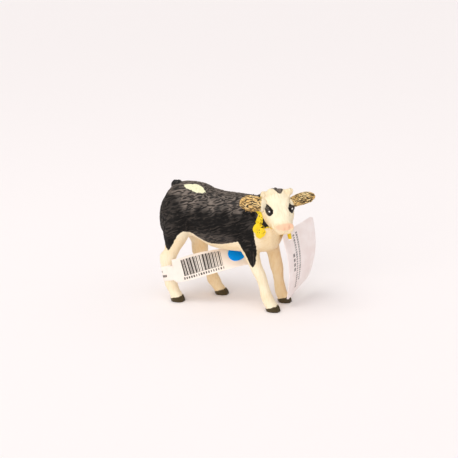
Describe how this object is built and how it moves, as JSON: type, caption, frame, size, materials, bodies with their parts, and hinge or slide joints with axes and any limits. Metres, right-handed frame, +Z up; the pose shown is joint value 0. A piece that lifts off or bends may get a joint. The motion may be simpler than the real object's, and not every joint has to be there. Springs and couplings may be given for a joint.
{
  "type": "toy calf figure",
  "caption": "Standing toy calf moulded in vinyl, head turned aside, with a printed paper label looped round a hind leg and a card leaf on a strap round the neck.",
  "frame": {"origin": "on the ground, under the middle of the whole figure with its tags", "axes": "+X to the calf's front, +Y to its left, +Z up"},
  "size_m": [0.08, 0.0436, 0.0623],
  "materials": {
    "torso": "satin painted vinyl",
    "head": "satin painted vinyl",
    "right_ear": "satin painted vinyl",
    "left_ear": "satin painted vinyl",
    "tail": "satin painted vinyl",
    "right_front_leg": "satin painted vinyl",
    "left_front_leg": "satin painted vinyl",
    "right_hind_leg": "satin painted vinyl",
    "left_hind_leg": "satin painted vinyl",
    "leg_label": "coated paper",
    "price_dot": "printed paper",
    "tag_strap": "matt plastic film",
    "tag_leaf": "coated card"
  },
  "bodies": {
    "figure": {"torso": "torso", "head": "head", "right_ear": "right_ear", "left_ear": "left_ear", "tail": "tail", "right_front_leg": "right_front_leg", "left_front_leg": "left_front_leg", "right_hind_leg": "right_hind_leg", "left_hind_leg": "left_hind_leg", "tag_strap": "tag_strap"},
    "label": {"leg_label": "leg_label", "price_dot": "price_dot"},
    "leaf": {"tag_leaf": "tag_leaf"}
  },
  "joints": [
    {"name": "label_swing", "type": "hinge", "parent": "figure", "child": "label", "pos_m": [-0.03257, -0.01222, 0.01104], "axis": [-0.167, 0, 0.986], "range_deg": [0, 10]},
    {"name": "leaf_swing", "type": "hinge", "parent": "figure", "child": "leaf", "pos_m": [0.02688, -0.00058, 0.03675], "axis": [-0.2876, -0.9452, -0.1547], "range_deg": [0, 18]}
  ]
}
